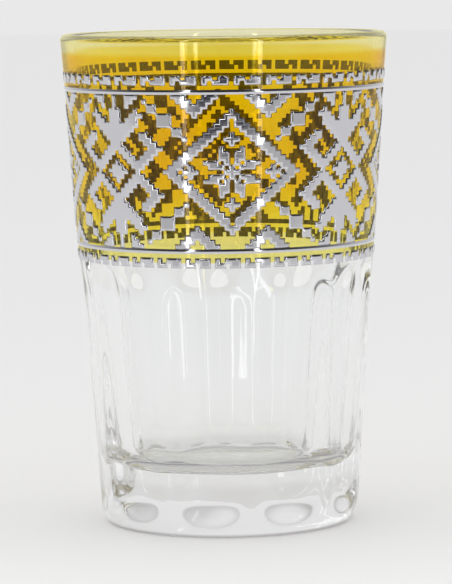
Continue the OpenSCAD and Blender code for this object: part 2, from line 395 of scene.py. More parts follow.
@dataclass(frozen=True)
class SilverPrint:
    """Finish of the print: silver with specks and fine scratches, and a dark fired underside."""

    silver: Colour = (0.67, 0.665, 0.695)
    tarnish: Colour = (0.58, 0.57, 0.60)
    under: Colour = (0.022, 0.02, 0.012)
    roughness: float = 0.06
    scratch_scale: float = 900.0
    scratch_stretch: Spot = (0.25, 0.25, 3.0)
    scratch_span: Span = (0.5, 0.8)
    scratch_rough: float = 0.08
    speck_scale: float = 1500.0
    speck_span: Span = (0.66, 0.74)
    speck_tarnish: float = 0.8
    cloud_scale: float = 160.0
    cloud_span: Span = (0.5, 0.8)
    cloud_tarnish: float = 0.3
    cloud_rough: float = 0.03
    relief_mm: float = 0.02
    relief_strength: float = 0.5
    scratch_relief: float = 0.7
    speck_relief: float = 0.3
    under_scale: float = 220.0
    under_span: Span = (0.4, 0.75)
    under_rough: float = 0.75
    under_specular: float = 0.2

    def material(self) -> bpy.types.Material:
        """Makes the material of the visible face."""
        made, graph = new_material("silver print")
        place = graph.place()
        scratches = graph.noise(place, self.scratch_scale, 4.0, self.scratch_stretch)
        specks = graph.noise(place, self.speck_scale)
        cloud = graph.noise(place, self.cloud_scale)
        worn = specks.step(*self.speck_span) * self.speck_tarnish
        worn = worn + cloud.step(*self.cloud_span) * self.cloud_tarnish
        rough = self.roughness + scratches.step(*self.scratch_span, 0.0, self.scratch_rough)
        rough = rough + cloud * self.cloud_rough
        relief = scratches * self.scratch_relief + specks * self.speck_relief
        metal = principled(graph, {
            "Base Color": graph.blend(worn, self.silver, self.tarnish),
            "Metallic": 1.0,
            "Roughness": rough,
            "Normal": graph.bump(relief, self.relief_mm, self.relief_strength),
        })
        end_material(graph, metal)
        return made

    def underside(self) -> bpy.types.Material:
        """Makes the material of the face on the glass, which shows through it."""
        made, graph = new_material("print underside")
        cloud = graph.noise(graph.place(), self.under_scale, 3.0).step(*self.under_span)
        matt = principled(graph, {
            "Base Color": graph.blend(cloud, self.under, tuple(2.0 * part for part in self.under)),
            "Roughness": self.under_rough,
            "Specular IOR Level": self.under_specular,
        })
        end_material(graph, matt)
        return made


@dataclass(frozen=True)
class Profile:
    """Outline of the plain tumbler before its flutes are pressed, in millimetres."""

    glass_h: float = 89.5
    lip_d: float = 59.4
    lip_t: float = 2.0
    flare_out: float = 0.2
    heel_d: float = 48.4
    heel_h: float = 8.0
    foot_d: float = 43.6
    foot_ring_w: float = 2.4
    hollow_h: float = 1.0
    flare_h: float = 13.0
    base_t: float = 10.9
    floor_d: float = 28.0
    floor_fillet_r: float = 5.0
    lip_join_deg: float = 8.0

    @property
    def lip_r(self) -> float:
        """Radius of the lip's round."""
        return self.lip_t / 2

    @property
    def lip_z(self) -> float:
        """Height of the middle of the lip's round."""
        return self.glass_h - self.lip_r

    @property
    def lip_x(self) -> float:
        """Radius at the middle of the lip's round."""
        return self.lip_d / 2 - self.lip_r

    @property
    def join_z(self) -> float:
        """Height where the wall meets the lip's round."""
        return self.lip_z - self.lip_r * math.sin(math.radians(self.lip_join_deg))

    @property
    def flare_z(self) -> float:
        """Height where the wall begins to flare out."""
        return self.join_z - self.flare_h

    @property
    def cone_slope(self) -> float:
        """How far the straight cone leans out for each millimetre of height."""
        join_x = self.lip_x + self.lip_r * math.cos(math.radians(self.lip_join_deg))
        return (join_x - self.flare_out - self.heel_d / 2) / (self.join_z - self.heel_h)

    @property
    def heel_end(self) -> float:
        """Angle of the heel's ellipse at which it runs on into the cone, in radians."""
        lean = self.cone_slope * self.heel_h / ((self.heel_d - self.foot_d) / 2)
        return math.acos(lean / (1 - lean))

    def cone_x(self, z: np.ndarray | float) -> np.ndarray | float:
        """Radius of the straight cone at a height."""
        return self.heel_d / 2 + (z - self.heel_h) * self.cone_slope

    def wall_x(self, z: np.ndarray) -> np.ndarray:
        """Radius of the outer wall at a height, with the flare above and the heel below."""
        flare = np.clip((z - self.flare_z) / self.flare_h, 0, 1)
        cos_a = 1 - z / self.heel_h * (1 - math.cos(self.heel_end))
        sin_a = np.sqrt(np.clip(1 - cos_a**2, 0, 1))
        heel = self.foot_d / 2 + (self.heel_d - self.foot_d) / 2 * sin_a / math.sin(self.heel_end)
        return np.where(z < self.heel_h, heel, self.cone_x(z) + self.flare_out * flare**2)

    @staticmethod
    def arc(x: float, z: float, r: float, start: float, end: float, steps: int) -> list[Span]:
        """Points on a round.

        Args:
            x: radius of its middle from the glass's axis.
            z: height of its middle.
            r: radius of the round.
            start: first angle, in degrees.
            end: last angle.
            steps: number of steps between them.

        Returns:
            Points as radius and height.
        """
        angles = np.radians(np.linspace(start, end, steps + 1))
        return [(x + r * math.cos(a), z + r * math.sin(a)) for a in angles]

    def inside_lean(self) -> float:
        """Lean of the inner wall, which touches the lip's round and the floor's fillet, in degrees."""
        across = self.lip_x - self.floor_d / 2
        up = self.lip_z - self.base_t - self.floor_fillet_r
        span = math.hypot(across, up)
        return math.degrees(math.atan2(across, up) - math.asin((self.lip_r + self.floor_fillet_r) / span))


@dataclass(frozen=True)
class Flute:
    """One arched hollow pressed into the wall, in millimetres."""

    count: int = 10
    turn_deg: float = -8.3
    hollow_r: float = 60.0
    land: float = 3.0
    arch_h: float = 8.0
    toe_z: float = 1.5
    toe_h: float = 6.5
    high_z: float = 40.648
    edge_round: float = 0.28
    rounds: int = 6

    def depth(self, r: float) -> float:
        """Depth that leaves the land between two flutes where the cone has a given radius."""
        half = math.pi / self.count - math.asin(self.land / 2 / r)
        reach = math.sqrt(self.hollow_r**2 - (r * math.sin(half))**2)
        return r + self.hollow_r - r * math.cos(half) - reach

    def surface(self, profile: Profile, z: np.ndarray, azimuth: np.ndarray) -> np.ndarray:
        """Distance from the glass's axis to the pressed surface.

        Args:
            profile: the plain tumbler.
            z: heights.
            azimuth: angles from the middle of the flute, in radians.

        Returns:
            Distances, infinite where the flute doesn't reach.
        """
        low_z = self.toe_z + self.toe_h
        high_x, low_x = profile.cone_x(self.high_z), profile.cone_x(low_z)
        high_depth, low_depth = self.depth(high_x), self.depth(low_x)
        slope = (high_x - high_depth - low_x + low_depth) / (self.high_z - low_z)
        lean = math.atan(slope)
        start = low_x - low_depth - slope * low_z
        arch_r = self.arch_h**2 / (2 * high_depth)
        toe_r = self.toe_h**2 / (2 * low_depth)
        along = np.cos(azimuth) * math.cos(lean)
        offset = -start * math.cos(lean) - z * math.sin(lean) - self.hollow_r
        found = profile.wall_x(z)
        for _ in range(self.rounds):
            up = (found * np.cos(azimuth) - start) * math.sin(lean) + z * math.cos(lean)
            above = np.clip(up - self.high_z / math.cos(lean), 0, None)
            below = np.clip(low_z / math.cos(lean) - up, 0, None)
            barrel = self.hollow_r - arch_r + np.sqrt(np.clip(arch_r**2 - above**2, 0, None))
            barrel += np.sqrt(np.clip(toe_r**2 - below**2, 0, None)) - toe_r
            square = along**2 + np.sin(azimuth)**2
            inside = (along * offset)**2 - square * (offset**2 - barrel**2)
            root = (-along * offset - np.sqrt(np.clip(inside, 0, None))) / square
            missed = (inside < 0) | (above > arch_r) | (below > toe_r)
            found = np.where(missed, profile.wall_x(z), root)
        return np.where(missed, np.inf, found)


def smooth_least(surfaces: Sequence[np.ndarray], rounding: float) -> np.ndarray:
    """Least of several surfaces, with the edges where they meet rounded off.

    Args:
        surfaces: distances of the same shape.
        rounding: how softly they blend, in their own unit.

    Returns:
        The blended distances.
    """
    lowest = np.minimum.reduce(surfaces)
    total = sum(np.exp(-(one - lowest) / rounding) for one in surfaces)
    return lowest - rounding * np.log(total)


def grid_faces(rows: int, columns: int, closed: bool = False) -> list[tuple[int, ...]]:
    """Faces of a grid of points laid out row after row, counterclockwise where rows go up.

    Args:
        rows: number of rows of points.
        columns: number of points in a row.
        closed: whether the last row meets the first, and the last column the first.

    Returns:
        The quads.
    """

    def corner(row: int, column: int) -> int:
        """Index of a point, counted on from the first row and column past the last."""
        return (row % rows) * columns + column % columns

    last = 0 if closed else 1
    return [
        (corner(row, column), corner(row, column + 1), corner(row + 1, column + 1), corner(row + 1, column))
        for row in range(rows - last)
        for column in range(columns - last)
    ]


def new_piece(name: str, points: np.ndarray, faces: Iterable[Sequence[int]]) -> bpy.types.Object:
    """Makes a smooth-shaded mesh object at the origin.

    Args:
        name: the object's name.
        points: corners in metres.
        faces: indices of the corners of each face.

    Returns:
        The object.
    """
    mesh = bpy.data.meshes.new(name)
    mesh.from_pydata(points.tolist(), [], list(faces))
    mesh.shade_smooth()
    made = bpy.data.objects.new(name, mesh)
    bpy.context.collection.objects.link(made)
    return made


def applied(piece: bpy.types.Object, modifier: bpy.types.Modifier) -> bpy.types.Object:
    """Turns a piece with its modifier into a plain mesh."""
    graph = bpy.context.evaluated_depsgraph_get()
    mesh = bpy.data.meshes.new_from_object(piece.evaluated_get(graph), depsgraph=graph)
    piece.modifiers.remove(modifier)
    piece.data = mesh
    return piece


def hand_over(piece: bpy.types.Object, node: str, slot: Slot) -> None:
    """Lets a piece stand for its solid, and logs it."""
    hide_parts(node)
    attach(piece, BODY)
    piece.data.calc_loop_triangles()
    LOG.info("%s: %d triangles, %s", piece.name, len(piece.data.loop_triangles), slot.value)


class GeometryTree:
    """Geometry Nodes tree with named inputs, built in the script."""

    def __init__(self, name: str, numbers: Sequence[str], whole: Sequence[str] = ()) -> None:
        """Makes the tree's interface.

        Args:
            name: the tree's name.
            numbers: names of the inputs that are numbers.
            whole: names of the inputs that are whole numbers.
        """
        self.tree = bpy.data.node_groups.new(name, "GeometryNodeTree")
        self.graph = Graph(self.tree)
        self.sockets: dict[str, str] = {}
        for kind, labels in (("Geometry", ["Shape"]), ("Float", numbers), ("Int", whole)):
            for label in labels:
                self._socket(label, "INPUT", kind)
        self._socket("Shape", "OUTPUT", "Geometry")
        self.entry = self.tree.nodes.new("NodeGroupInput")
        self.exit = self.tree.nodes.new("NodeGroupOutput")

    def _socket(self, label: str, side: str, kind: str) -> None:
        """Adds one socket to the interface."""
        made = self.tree.interface.new_socket(name=label, in_out=side, socket_type=f"NodeSocket{kind}")
        if side == "INPUT":
            self.sockets[label] = made.identifier

    def given(self, label: str) -> Wire:
        """Wire from a named input."""
        return Wire(self.graph, self.entry.outputs[label])

    def end(self, shape: Wire) -> None:
        """Links the finished shape to the output."""
        self.tree.links.new(shape.socket, self.exit.inputs[0])

    def run(self, piece: bpy.types.Object, values: dict[str, Value]) -> bpy.types.Object:
        """Runs the tree on a piece.

        Args:
            piece: the object whose mesh goes in.
            values: numbers for the named inputs.

        Returns:
            The same object with the result as a plain mesh.
        """
        modifier = piece.modifiers.new(self.tree.name, "NODES")
        modifier.node_group = self.tree
        for label, value in values.items():
            modifier[self.sockets[label]] = value
        return applied(piece, modifier)


@dataclass
class GlassBody:
    """The pressed tumbler: one flute's share of it, repeated round the axis."""

    profile: Profile
    flute: Flute
    finish: ClearGlass
    columns: int = 36
    crowding: float = 1.5
    heel_row_deg: float = 90 / 19
    heel_rows: int = 9
    toe_row: float = 0.3
    toe_end_z: float = 10.5
    wall_row: float = 1.0
    arch_row: float = 0.27
    below_arch: Span = (1.2, 1.0)
    above_arch: Span = (1.2, 2.0)
    upper_rows: int = 22
    under_shares: tuple[float, ...] = (0.02, 0.3, 0.6, 0.85)
    hollow_steps: int = 6
    ring_shares: tuple[float, ...] = (0.8, 0.4, 0.08)
    lip_steps: int = 20
    fillet_steps: int = 10
    inside_rows: int = 34
    floor_rows: int = 7
    floor_middle_r: float = 0.4
    join_row: float = 0.12
    join_mm: float = 0.004

    def _azimuths(self) -> np.ndarray:
        """Angles of the columns from the middle of the flute, closer together towards its edges."""
        share = np.linspace(-1, 1, self.columns + 1)
        spread = 1 - (1 - np.abs(share))**self.crowding
        return np.sign(share) * spread * math.pi / self.flute.count

    def _heights(self) -> np.ndarray:
        """Heights of the rows on the outside, closer together at the toes and arches."""
        turn = np.radians(self.heel_row_deg * np.arange(self.heel_rows))
        heel = self.profile.heel_h * (1 - np.cos(turn))
        low, high = self.flute.high_z, self.flute.high_z + self.flute.arch_h
        end = self.profile.join_z
        return np.concatenate([
            heel,
            np.arange(heel[-1] + self.toe_row, self.toe_end_z, self.toe_row),
            np.arange(self.toe_end_z + self.toe_row, low - self.below_arch[0], self.wall_row),
            np.arange(low - self.below_arch[1], high + self.above_arch[0], self.arch_row),
            np.linspace(high + self.above_arch[1], end - self.join_row, self.upper_rows),
            [end],
        ])

    def _underside(self) -> list[Span]:
        """Line from near the middle of the underside, out over the hollow and the foot's ring."""
        shape = self.profile
        ring_x = shape.foot_d / 2 - shape.foot_ring_w
        hollow = [(ring_x * share, shape.hollow_h) for share in self.under_shares]
        hollow += shape.arc(ring_x - shape.hollow_h, 0, shape.hollow_h, 90, 0, self.hollow_steps)
        return hollow + [(shape.foot_d / 2 - shape.foot_ring_w * share, 0.0) for share in self.ring_shares]

    def _inside(self) -> list[Span]:
        """Line over the lip, down the inner wall and round the fillet to near the middle of the floor."""
        shape = self.profile
        lean = shape.inside_lean()
        first, last = -shape.lip_join_deg, 180 - lean
        lip = shape.arc(shape.lip_x, shape.lip_z, shape.lip_r, first, last, self.lip_steps)
        floor_r, fillet_r = shape.floor_d / 2, shape.floor_fillet_r
        fillet = shape.arc(floor_r, shape.base_t + fillet_r, fillet_r, -lean, -90, self.fillet_steps)
        margin = self.join_row / shape.glass_h
        shares = [margin, *np.linspace(0, 1, self.inside_rows + 1)[1:-1], 1 - margin]
        wall = [tuple(np.array(lip[-1]) * (1 - share) + np.array(fillet[0]) * share) for share in shares]
        floor = [(floor_r * share, shape.base_t) for share in np.linspace(1, 0, self.floor_rows)[1:-1]]
        return lip[1:] + wall + fillet + floor + [(self.floor_middle_r, shape.base_t)]

    def _rows(self) -> np.ndarray:
        """Points of one flute's share, from the middle of the underside round to the middle of the floor."""
        azimuths = self._azimuths()
        heights, angles = np.meshgrid(self._heights(), azimuths, indexing="ij")
        pitch = 2 * math.pi / self.flute.count
        surfaces = [self.profile.wall_x(heights)]
        surfaces += [self.flute.surface(self.profile, heights, angles + turn) for turn in (-pitch, 0, pitch)]
        outside = smooth_least(surfaces, self.flute.edge_round)

        def plain(line: list[Span]) -> np.ndarray:
            """Radii and heights of a line that is the same at every azimuth."""
            return np.array(line).T[:, :, None].repeat(len(azimuths), 2)

        parts = [plain(self._underside()), np.stack([outside, heights]), plain(self._inside())]
        radius, level = np.concatenate(parts, 1)
        turned = np.broadcast_to(azimuths, radius.shape)
        return np.stack([radius * np.sin(turned), -radius * np.cos(turned), level], 2) * MM

    def _share(self) -> bpy.types.Object:
        """Mesh of one flute's share, open only along the two sides where it meets its neighbours."""
        rows = self._rows()
        count, columns, _ = rows.shape
        points = rows.reshape(-1, 3)
        faces = grid_faces(count, columns)
        ends = np.array([[0, 0, self.profile.hollow_h], [0, 0, self.profile.base_t]]) * MM
        under, floor = len(points), len(points) + 1
        last = (count - 1) * columns
        faces += [(under, column + 1, column) for column in range(columns - 1)]
        faces += [(floor, last + column, last + column + 1) for column in range(columns - 1)]
        return new_piece("glass_body_dressed", np.concatenate([points, ends]), faces)

    def _ring_tree(self, material: bpy.types.Material) -> GeometryTree:
        """Geometry Nodes that repeat one share round the axis and join the shares."""
        made = GeometryTree("flutes round the glass", ["Turn", "Join distance"], ["Flutes"])
        graph = made.graph
        count = made.given("Flutes")
        points = graph.node("GeometryNodePoints", None, {"Count": count})
        index = graph.node("GeometryNodeInputIndex")
        angle = index * (2 * math.pi) / count + made.given("Turn")
        turn = graph.node("FunctionNodeEulerToRotation", None, {0: graph.vector(0.0, 0.0, angle)})
        copies = graph.node(
            "GeometryNodeInstanceOnPoints", None,
            {"Points": points, "Instance": made.given("Shape"), "Rotation": turn},
        )
        real = graph.node("GeometryNodeRealizeInstances", None, {0: copies})
        joined = graph.node(
            "GeometryNodeMergeByDistance", None, {"Geometry": real, "Distance": made.given("Join distance")}
        )
        smooth = graph.node("GeometryNodeSetShadeSmooth", None, {"Geometry": joined})
        made.end(graph.node("GeometryNodeSetMaterial", None, {"Geometry": smooth, "Material": material}))
        return made

    def build(self) -> bpy.types.Object:
        """Makes the dressed body.

        Returns:
            The finished piece.
        """
        values = {
            "Turn": math.radians(self.flute.turn_deg),
            "Join distance": self.join_mm * MM,
            "Flutes": self.flute.count,
        }
        piece = self._ring_tree(self.finish.material()).run(self._share(), values)
        hand_over(piece, "glass_body", Slot.CLEAR_GLASS)
        return piece


def revolved(name: str, outline: Sequence[Span], columns: int) -> bpy.types.Object:
    """Turns a closed outline round the axis.

    Args:
        name: the object's name.
        outline: points as radius and height in millimetres, counterclockwise with the radius to the right.
        columns: number of steps round the axis.

    Returns:
        The closed ring, with faces outwards.
    """
    angles = np.linspace(0, 2 * math.pi, columns, endpoint=False)
    line = np.array(outline)
    points = np.stack([
        np.outer(line[:, 0], np.sin(angles)),
        -np.outer(line[:, 0], np.cos(angles)),
        np.repeat(line[:, 1:], columns, 1),
    ], 2)
    return new_piece(name, points.reshape(-1, 3) * MM, grid_faces(len(outline), columns, closed=True))


@dataclass
class AmberCoat:
    """The fired film, a thin closed shell from the lower keys up the wall and over the lip."""

    profile: Profile
    finish: AmberStain
    low_z: float
    thickness: float = 0.08
    seat: float = 0.015
    end_deg: float = 120.0
    columns: int = 288
    wall_rows: int = 24
    join_row: float = 0.12
    lip_steps: int = 16

    def _line(self, out: float) -> list[Span]:
        """Line up the wall and over the lip, some way out from the glass."""
        shape = self.profile
        heights = [*np.linspace(self.low_z, shape.join_z - self.join_row, self.wall_rows), shape.join_z]
        wall = [(float(shape.wall_x(z)) + out, float(z)) for z in heights]
        return wall + shape.arc(
            shape.lip_x, shape.lip_z, shape.lip_r + out, -shape.lip_join_deg, self.end_deg, self.lip_steps
        )[1:]

    def build(self) -> bpy.types.Object:
        """Makes the coat.

        Returns:
            The finished piece.
        """
        outer, inner = self._line(self.thickness), self._line(self.seat)
        piece = revolved("amber_coat_dressed", outer + inner[::-1], self.columns)
        piece.data.materials.append(self.finish.material(outside=True))
        piece.data.materials.append(self.finish.material(outside=False))
        outside_faces = (len(outer) - 1) * self.columns
        for face in piece.data.polygons:
            face.material_index = 0 if face.index < outside_faces else 1
        hand_over(piece, "amber_coat", Slot.AMBER_GLASS)
        return piece


@dataclass(frozen=True)
class Band:
    """Lattice of stitches round the glass. Columns count from a diamond's middle, rows from mid height."""

    profile: Profile
    turn_deg: float = 2.5
    middle_z: float = 65.75
    stitch_h: float = 0.825
    repeats: int = 4
    repeat_columns: int = 48
    field_rows: int = 16
    key_off_rows: int = 19
    key_rows: int = 2
    bleed: float = 0.09
    bevel: float = 0.38
    seat: float = 0.045
    edge: float = 0.085
    outer: float = 0.25
    face_inset: float = 0.04

    @property
    def column_deg(self) -> float:
        """Width of a stitch in degrees round the glass."""
        return 360 / (self.repeats * self.repeat_columns)

    @property
    def bleed_deg(self) -> float:
        """The bleed in degrees round the glass at mid height."""
        return math.degrees(math.asin(self.bleed / float(self.profile.wall_x(np.array(self.middle_z)))))

    @property
    def field_half_h(self) -> float:
        """Height from the middle of the band to a rule."""
        return (self.field_rows + 0.5) * self.stitch_h

    @property
    def coat_low_z(self) -> float:
        """Lower edge of the amber coat, in the middle of the lower keys."""
        return self.middle_z + (0.5 - self.key_off_rows - self.key_rows / 2) * self.stitch_h


class Lattice:
    """A motif's stitches as a closed relief with a bevelled edge, flat: x is the angle and y the height."""

    AROUND = ((-1, -1), (1, -1), (1, 1), (-1, 1))
    SIDES = ((0, -1), (1, 0), (0, 1), (-1, 0))
    UNDERSIDE = "underside"

    def __init__(self, band: Band, cells: Iterable[Cell]) -> None:
        """Takes the lattice and the stitches that are printed."""
        self.band = band
        self.cells = set(cells)
        self.points: list[tuple[float, float, float]] = []
        self.faces: list[tuple[int, ...]] = []
        self.kinds: list[bool] = []
        self.known: dict[tuple[int, ...], int] = {}

    def _offset(self, i: int, j: int, toward: tuple[int, int]) -> tuple[int, int]:
        """How a lattice corner moves: 1 or -1 along columns and rows for each side that ends there.

        Args:
            i: column of the stitch on the corner's right.
            j: row of the stitch above the corner.
            toward: at a corner where stitches touch diagonally, which of the two gaps this point is for.

        Returns:
            The steps of the bleed across and up.
        """
        west_low, east_low = (i - 1, j - 1) in self.cells, (i, j - 1) in self.cells
        west_high, east_high = (i - 1, j) in self.cells, (i, j) in self.cells
        if west_low == east_high and east_low == west_high and west_low != east_low:
            return toward
        across = (west_low and not east_low) or (west_high and not east_high)
        back = (east_low and not west_low) or (east_high and not west_high)
        up = (west_low and not west_high) or (east_low and not east_high)
        down = (west_high and not west_low) or (east_high and not east_low)
        return across - back, up - down

    def _point(self, i: int, j: int, toward: tuple[int, int], tier: Tier) -> int:
        """Index of a corner's point at one level of the relief."""
        across, up = self._offset(i, j, toward)
        key = (i, j, across, up, tier)
        if key not in self.known:
            band = self.band
            spread = band.bleed - (band.bevel if tier is Tier.FACE else 0.0)
            height = (band.seat, band.edge, band.outer)[tier]
            deg = (i - 0.5) * band.column_deg + across * band.bleed_deg * spread / band.bleed
            z = band.middle_z + (j - 0.5) * band.stitch_h + up * spread
            if abs(j - 0.5) < band.field_rows + 1:
                limit = band.field_half_h - (band.face_inset if tier is Tier.FACE else 0.0)
                z = max(band.middle_z - limit, min(band.middle_z + limit, z))
            self.known[key] = len(self.points)
            self.points.append((math.radians(deg), z * MM, height * MM))
        return self.known[key]

    def _corner(self, cell: Cell, side: tuple[int, int], tier: Tier) -> list[int]:
        """Points of a stitch at a corner: below the face, two where it meets the next one only diagonally."""
        c, r = cell
        dx, dy = side
        i, j = c + (dx + 1) // 2, r + (dy + 1) // 2
        alone = (c + dx, r) not in self.cells and (c, r + dy) not in self.cells
        if tier is not Tier.FACE and alone and (c + dx, r + dy) in self.cells:
            pair = [self._point(i, j, (dx, -dy), tier), self._point(i, j, (-dx, dy), tier)]
            return pair if dx * dy > 0 else pair[::-1]
        return [self._point(i, j, (dx, dy), tier)]

    def _add(self, face: Sequence[int], underside: bool = False) -> None:
        """Adds a face, and whether it belongs to the underside."""
        self.faces.append(tuple(face))
        self.kinds.append(underside)

    def build(self, name: str) -> bpy.types.Object:
        """Makes the flat relief.

        Args:
            name: the object's name.

        Returns:
            The object, with an attribute that marks the faces of its underside.
        """
        for cell in sorted(self.cells):
            seat, edge, face = ([self._corner(cell, side, tier) for side in self.AROUND] for tier in Tier)
            self._add([point for corner in face for point in corner])
            self._add([point for corner in seat for point in corner][::-1], True)
            for k, (across, up) in enumerate(self.SIDES):
                if len(edge[k]) == 2:
                    self._add((*edge[k], face[k][0]))
                if (cell[0] + across, cell[1] + up) in self.cells:
                    continue
                beyond = (k + 1) % len(self.SIDES)
                for low, high in ((seat, edge), (edge, face)):
                    self._add((low[k][-1], low[beyond][0], high[beyond][0], high[k][-1]))
        made = new_piece(name, np.array(self.points), self.faces)
        mesh = made.data
        mesh.attributes.new(self.UNDERSIDE, "BOOLEAN", "FACE").data.foreach_set("value", self.kinds)
        self._sharpen(mesh)
        return made

    def _sharpen(self, mesh: bpy.types.Mesh) -> None:
        """Keeps the edges round the face and the underside sharp."""
        tiers = {index: key[-1] for key, index in self.known.items()}
        flat_faces: Counter[Cell] = Counter()
        for face in self.faces:
            if len({tiers[point] for point in face}) == 1:
                flat_faces.update((min(a, b), max(a, b)) for a, b in zip(face, face[1:] + face[:1]))
        for edge in mesh.edges:
            low, high = sorted(edge.vertices)
            level = tiers[low] is tiers[high] and tiers[low] is not Tier.EDGE
            edge.use_edge_sharp = level and flat_faces[(low, high)] == 1


@dataclass
class Print:
    """The silver print: each motif as a flat relief, wrapped on to the wall and repeated round the glass."""

    WALL = ("Wall radius", "Wall slope", "Flare start", "Flare height", "Flare out")

    band: Band
    finish: SilverPrint
    rule_columns: int = 192
    waver_mm: float = 0.06
    waver_scale: float = 900.0
    pieces: list[bpy.types.Object] = field(default_factory=list)

    def __post_init__(self) -> None:
        """Makes the materials and the Geometry Nodes tree once for all motifs."""
        self.silver = self.finish.material()
        self.under = self.finish.underside()
        self.tree = self._wrap_tree()

    def _wrap_tree(self) -> GeometryTree:
        """Geometry Nodes that repeat a flat motif and bend it on to the wall."""
        made = GeometryTree("print round the glass", ["Pitch", "Turn", *self.WALL, "Waver"], ["Repeats"])
        graph, given = made.graph, made.given
        pitch = graph.vector(given("Pitch"), 0.0, 0.0)
        line = graph.node("GeometryNodeMeshLine", None, {"Count": given("Repeats"), "Offset": pitch})
        motif = {"Points": line, "Instance": given("Shape")}
        copies = graph.node("GeometryNodeInstanceOnPoints", None, motif)
        real = graph.node("GeometryNodeRealizeInstances", None, {0: copies})
        place = graph.node("GeometryNodeInputPosition")
        angle, height, out = graph.xyz(place)
        angle = angle + given("Turn")
        rise = (height - given("Flare start")) / given("Flare height")
        flare = graph.node("ShaderNodeClamp", None, {0: rise})
        radius = given("Wall radius") + height * given("Wall slope")
        radius = radius + flare * flare * given("Flare out") + out
        bent = graph.vector(radius * angle.sin(), 0.0 - radius * angle.cos(), height)
        wrapped = graph.node("GeometryNodeSetPosition", None, {"Geometry": real, "Position": bent})
        noise = {"Vector": place, "Scale": self.waver_scale, "Detail": 1.0}
        _, _, wander = graph.xyz(graph.node("ShaderNodeTexNoise", None, noise, out=1))
        lift = graph.vector(0.0, 0.0, (wander - 0.5) * given("Waver"))
        uneven = graph.node("GeometryNodeSetPosition", None, {"Geometry": wrapped, "Offset": lift})
        mark = {"Name": Lattice.UNDERSIDE}
        under = graph.node("GeometryNodeInputNamedAttribute", {"data_type": "BOOLEAN"}, mark)
        face = graph.node("GeometryNodeSetMaterial", None, {"Geometry": uneven, "Material": self.silver})
        both = {"Geometry": face, "Selection": under, "Material": self.under}
        made.end(graph.node("GeometryNodeSetMaterial", None, both))
        return made

    def _print(self, node: str, cells: Iterable[Cell], repeats: int) -> None:
        """Prints a motif round the glass in place of its solid.

        Args:
            node: the solid's name.
            cells: stitches of one repeat.
            repeats: how many repeats go round.
        """
        shape, band = self.band.profile, self.band
        values = {
            "Pitch": 2 * math.pi / repeats,
            "Turn": math.radians(band.turn_deg),
            "Wall radius": shape.cone_x(0.0) * MM,
            "Wall slope": shape.cone_slope,
            "Flare start": shape.flare_z * MM,
            "Flare height": shape.flare_h * MM,
            "Flare out": shape.flare_out * MM,
            "Waver": self.waver_mm * MM,
            "Repeats": repeats,
        }
        piece = self.tree.run(Lattice(band, cells).build(f"{node}_dressed"), values)
        hand_over(piece, node, Slot.SILVER_PRINT)
        self.pieces.append(piece)

    def _rule(self, node: str, low: float) -> None:
        """Prints a plain ring one stitch high, from a height upwards."""
        band = self.band
        high = low + band.stitch_h

        def wall(z: float, out: float) -> Span:
            """Point at a height, some way out from the wall."""
            return float(band.profile.wall_x(np.array(z))) + out, z

        outline = [
            wall(low, band.edge), wall(low + band.bevel, band.outer),
            wall(high - band.bevel, band.outer), wall(high, band.edge),
            wall(high, band.seat), wall(low, band.seat),
        ]
        piece = revolved(f"{node}_dressed", outline, self.rule_columns)
        piece.data.materials.append(self.silver)
        piece.data.materials.append(self.under)
        underside = len(outline) - 2
        for face in piece.data.polygons:
            face.material_index = 1 if face.index // self.rule_columns == underside else 0
        for edge in piece.data.edges:
            first, second = (point // self.rule_columns for point in edge.vertices)
            edge.use_edge_sharp = first == second
        hand_over(piece, node, Slot.SILVER_PRINT)
        self.pieces.append(piece)

    @staticmethod
    def _where(on: Callable[[int, int], bool], columns: int, rows: int, middle: int = 0) -> list[Cell]:
        """Stitches of a motif.

        Args:
            on: whether a stitch is printed, by its column and row from the motif's middle.
            columns: how far the motif reaches to each side.
            rows: how far it reaches up and down.
            middle: column of the motif's middle.

        Returns:
            The printed stitches.
        """
        return [
            (middle + c, r)
            for c in range(-columns, columns + 1)
            for r in range(-rows, rows + 1)
            if on(c, r)
        ]

    def build(self) -> list[bpy.types.Object]:
        """Makes all eleven printed pieces.

        Returns:
            The finished pieces.
        """
        band = self.band
        half, rows = band.repeat_columns // 2, band.field_rows
        key_count = band.repeats * band.repeat_columns // Keys.PITCH
        for level, node in ((Level.UPPER, "upper"), (Level.LOWER, "lower")):
            self._print(f"{node}_key_border", Keys.cells(band, level), key_count)
            edge = band.field_half_h if level is Level.UPPER else -band.field_half_h - band.stitch_h
            self._rule(f"{node}_rule", band.middle_z + edge)
            hangings = self._where(lambda c, r: Motifs.triangle(c, level.value * r), half, rows)
            hangings += self._where(lambda c, r: Motifs.corner(c, level.value * r), half, rows, half)
            self._print(f"{node}_hangings", hangings, band.repeats)
        self._print("diamond_frames", self._where(Motifs.frame, 13, 13), band.repeats)
        self._print("centre_rosettes", self._where(Motifs.rosette, 5, 5), band.repeats)
        self._print("small_crosses", self._where(Motifs.cross, 1, 8), band.repeats)
        self._print("tree_motifs", self._where(Motifs.tree, 11, rows, half), band.repeats)
        self._print("square_chains", self._where(Motifs.chain, half, rows), band.repeats)
        return self.pieces


